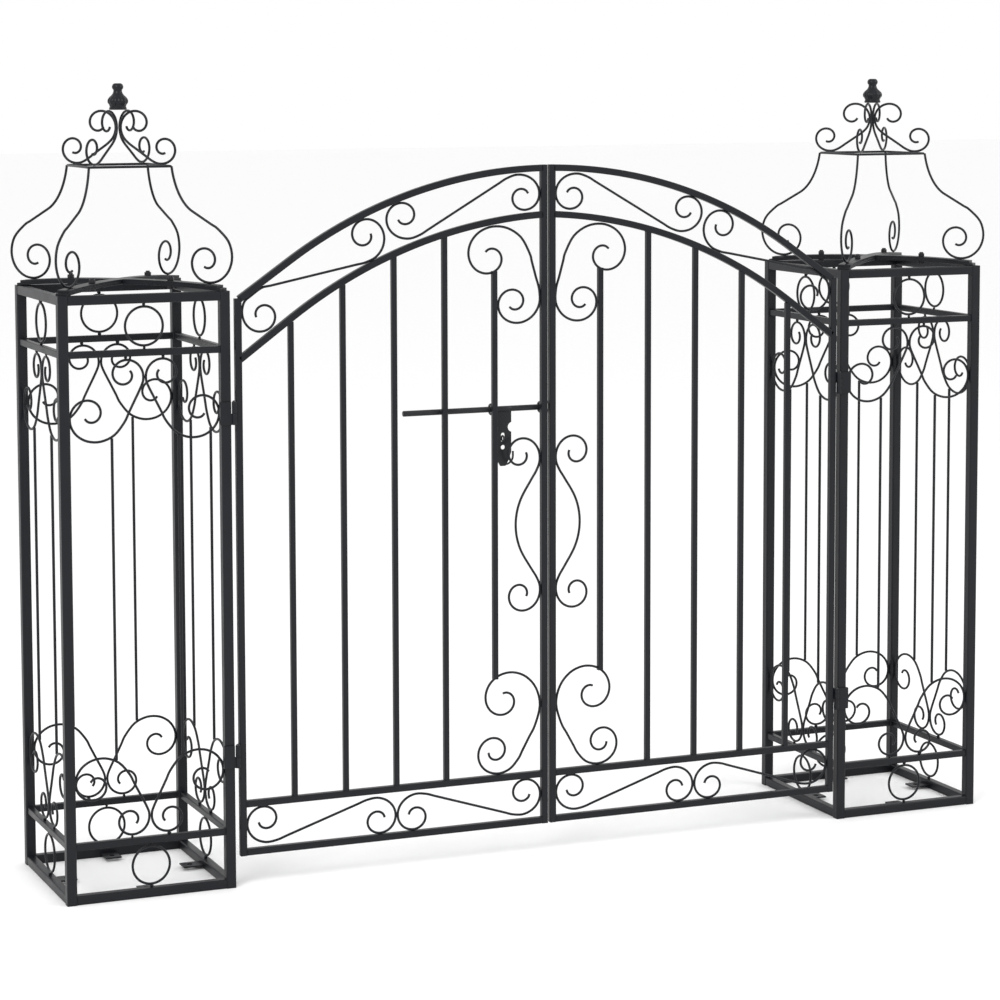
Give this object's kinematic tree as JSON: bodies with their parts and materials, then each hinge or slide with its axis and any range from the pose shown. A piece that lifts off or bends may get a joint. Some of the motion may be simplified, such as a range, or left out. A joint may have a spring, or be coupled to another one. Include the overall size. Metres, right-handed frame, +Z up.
{
  "type": "garden gate",
  "caption": "Double garden gate: two arched barred leaves with scroll work, hung between openwork square pillars with scrolled crowns, locked by a slide rod with a hasp.",
  "frame": {"origin": "centre of the bounding box on the ground, midway between the pillars", "axes": "+X from the left pillar to the right one, seen from the front; +Y to the back; +Z up"},
  "size_m": [1.2284, 0.214, 0.9484],
  "materials": {
    "tube_coat": "black powder coat on steel tube and flat bar, satin",
    "wire_coat": "black powder coat on bent steel wire, satin",
    "latch_coat": "black powder coat, worn smooth by sliding",
    "fastener": "blackened steel bolts and nuts",
    "hinge_pin": "blackened steel pin"
  },
  "bodies": {
    "pillars": {"left_posts": "tube_coat", "left_frame_rails": "tube_coat", "left_inner_rails": "tube_coat", "left_rings": "wire_coat", "left_scrolls": "wire_coat", "left_rods": "wire_coat", "left_anchor_tabs": "tube_coat", "left_top_cross": "tube_coat", "left_crown_cross": "tube_coat", "left_crown_legs": "wire_coat", "left_crown_ring": "wire_coat", "left_crown_scrolls": "wire_coat", "left_finial": "tube_coat", "left_hinge_straps": "tube_coat", "left_hinge_pins": "hinge_pin", "right_posts": "tube_coat", "right_frame_rails": "tube_coat", "right_inner_rails": "tube_coat", "right_rings": "wire_coat", "right_scrolls": "wire_coat", "right_rods": "wire_coat", "right_anchor_tabs": "tube_coat", "right_top_cross": "tube_coat", "right_crown_cross": "tube_coat", "right_crown_legs": "wire_coat", "right_crown_ring": "wire_coat", "right_crown_scrolls": "wire_coat", "right_finial": "tube_coat", "right_hinge_straps": "tube_coat", "right_hinge_pins": "hinge_pin", "crown_bolts": "fastener", "crown_nuts": "fastener"},
    "left_leaf": {"left_hinge_stile": "tube_coat", "left_meeting_stile": "tube_coat", "left_top_arch": "tube_coat", "left_lower_arch": "tube_coat", "left_leaf_rails": "tube_coat", "left_bars": "tube_coat", "left_arch_scrolls": "wire_coat", "left_base_scrolls": "wire_coat", "left_corner_scrolls": "wire_coat", "left_handle_scroll": "wire_coat", "left_knuckles": "tube_coat", "guide_rings": "wire_coat"},
    "right_leaf": {"right_hinge_stile": "tube_coat", "right_meeting_stile": "tube_coat", "right_top_arch": "tube_coat", "right_lower_arch": "tube_coat", "right_leaf_rails": "tube_coat", "right_bars": "tube_coat", "right_arch_scrolls": "wire_coat", "right_base_scrolls": "wire_coat", "right_corner_scrolls": "wire_coat", "right_handle_scroll": "wire_coat", "right_knuckles": "tube_coat", "keeper_ring": "wire_coat"},
    "slide_rod": {"slide_rod": "latch_coat"},
    "hasp": {"hasp": "latch_coat", "hasp_hook": "wire_coat", "lock_eye": "wire_coat"}
  },
  "joints": [
    {"name": "left_leaf_hinge", "type": "hinge", "parent": "pillars", "child": "left_leaf", "pos_m": [-0.402, -0.1043, 0], "axis": [0, 0, -1], "range_deg": [-20, 100]},
    {"name": "right_leaf_hinge", "type": "hinge", "parent": "pillars", "child": "right_leaf", "pos_m": [0.402, -0.1043, 0], "axis": [0, 0, 1], "range_deg": [-20, 100]},
    {"name": "rod_slide", "type": "slide", "parent": "left_leaf", "child": "slide_rod", "axis": [1, 0, 0], "range_m": [0, 0.022]},
    {"name": "hasp_swing", "type": "hinge", "parent": "slide_rod", "child": "hasp", "pos_m": [-0.05492, -0.0872, 0.552], "axis": [1, 0, 0], "range_deg": [0, 110]}
  ]
}
